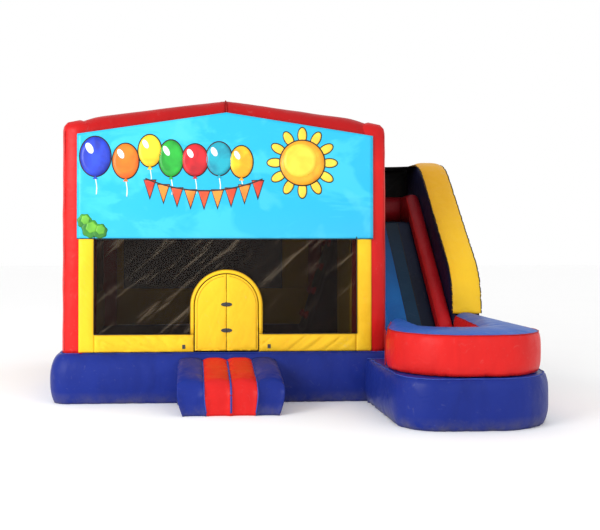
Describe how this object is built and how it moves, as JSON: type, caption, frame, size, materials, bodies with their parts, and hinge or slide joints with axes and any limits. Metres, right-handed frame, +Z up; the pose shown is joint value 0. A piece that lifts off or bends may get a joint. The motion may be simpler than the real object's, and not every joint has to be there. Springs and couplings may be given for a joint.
{
  "type": "inflatable bounce house",
  "caption": "Gabled inflatable bounce house with a netted front, an arched split door, an entrance step, a side slide with bumper landing, and a blower on its air sleeve",
  "frame": {"origin": "on the ground, under the middle of the square house base", "axes": "+Z up, the entrance and the foot of the slide face -Y, the slide is on the +X side of the house"},
  "size_m": [6.16, 7.5, 4.0596],
  "materials": {
    "red_vinyl": "satin",
    "blue_vinyl": "satin",
    "sky_vinyl": "satin",
    "yellow_vinyl": "satin",
    "navy_vinyl": "satin",
    "white_vinyl": "satin",
    "printed_vinyl": "satin",
    "black_netting": "matte",
    "black_webbing": "matte",
    "steel": "satin",
    "blower_plastic": "satin",
    "dark_metal": "satin",
    "switch_plastic": "gloss"
  },
  "bodies": {
    "root": {"house_base": "blue_vinyl", "base_baffles": "white_vinyl", "bounce_floor": "navy_vinyl", "front_left_column": "red_vinyl", "front_right_column": "red_vinyl", "rear_left_column": "red_vinyl", "rear_right_column": "red_vinyl", "front_left_beam": "red_vinyl", "front_right_beam": "red_vinyl", "rear_left_beam": "red_vinyl", "rear_right_beam": "red_vinyl", "left_side_beam": "red_vinyl", "right_side_beam": "red_vinyl", "roof_panel": "blue_vinyl", "front_window_border": "yellow_vinyl", "front_window_mesh": "black_netting", "door_surround": "yellow_vinyl", "art_panel": "printed_vinyl", "left_wall_panel": "yellow_vinyl", "left_wall_mesh": "black_netting", "rear_wall_panel": "yellow_vinyl", "rear_wall_mesh": "black_netting", "right_wall_panel": "yellow_vinyl", "right_wall_mesh": "black_netting", "step_blue_tubes": "blue_vinyl", "step_red_tubes": "red_vinyl", "landing_base": "blue_vinyl", "slide_base": "blue_vinyl", "landing_mat": "navy_vinyl", "left_bumper": "red_vinyl", "front_bumper": "red_vinyl", "right_bumper": "red_vinyl", "slide_tower": "navy_vinyl", "slide_bed": "sky_vinyl", "slide_left_rail": "sky_vinyl", "slide_right_rail": "red_vinyl", "slide_side_wall": "navy_vinyl", "side_wall_edge": "yellow_vinyl", "slide_back_beam": "red_vinyl", "slide_roof_cover": "black_netting", "climbing_wall": "navy_vinyl", "climbing_grips": "red_vinyl", "anchor_tabs": "black_webbing", "inlet_sleeve": "blue_vinyl", "sleeve_strap": "black_webbing", "blower_housing": "blower_plastic", "blower_motor": "dark_metal", "intake_grille": "dark_metal", "deflate_zip": "black_webbing"},
    "left_door": {"left_door_flap": "yellow_vinyl", "left_closure_tabs": "black_webbing"},
    "right_door": {"right_door_flap": "yellow_vinyl", "right_closure_tabs": "black_webbing"},
    "front_left_ring": {"ring_front_left": "steel"},
    "rear_left_ring": {"ring_rear_left": "steel"},
    "front_right_ring": {"ring_front_right": "steel"},
    "rear_right_ring": {"ring_rear_right": "steel"},
    "impeller": {"blower_impeller": "dark_metal"},
    "switch": {"blower_switch": "switch_plastic"},
    "zip": {"zip_slider": "steel"}
  },
  "joints": [
    {"name": "left_door_hinge", "type": "hinge", "parent": "root", "child": "left_door", "pos_m": [-0.423, -2.231, 1.2], "axis": [0, 0, -1], "range_deg": [-45, 95]},
    {"name": "right_door_hinge", "type": "hinge", "parent": "root", "child": "right_door", "pos_m": [0.423, -2.231, 1.2], "axis": [0, 0, 1], "range_deg": [-45, 95]},
    {"name": "front_left_ring_swing", "type": "hinge", "parent": "root", "child": "front_left_ring", "pos_m": [-2.358, -1.7, 0.15], "axis": [0, 1, 0], "range_deg": [0, 150]},
    {"name": "rear_left_ring_swing", "type": "hinge", "parent": "root", "child": "rear_left_ring", "pos_m": [-2.358, 1.7, 0.15], "axis": [0, 1, 0], "range_deg": [0, 150]},
    {"name": "front_right_ring_swing", "type": "hinge", "parent": "root", "child": "front_right_ring", "pos_m": [3.788, -3.2, 0.15], "axis": [0, -1, 0], "range_deg": [0, 150]},
    {"name": "rear_right_ring_swing", "type": "hinge", "parent": "root", "child": "rear_right_ring", "pos_m": [3.788, 0.8, 0.15], "axis": [0, -1, 0], "range_deg": [0, 150]},
    {"name": "impeller_spin", "type": "hinge", "parent": "root", "child": "impeller", "pos_m": [-1.2, 3.005, 0.33], "axis": [1, 0, 0], "continuous": true},
    {"name": "switch_rock", "type": "hinge", "parent": "root", "child": "switch", "pos_m": [-1.2, 3.005, 0.607], "axis": [0, 1, 0], "range_deg": [-12, 12]},
    {"name": "zip_slide", "type": "slide", "parent": "root", "child": "zip", "axis": [1, 0, 0], "range_m": [0, 0.84]}
  ]
}
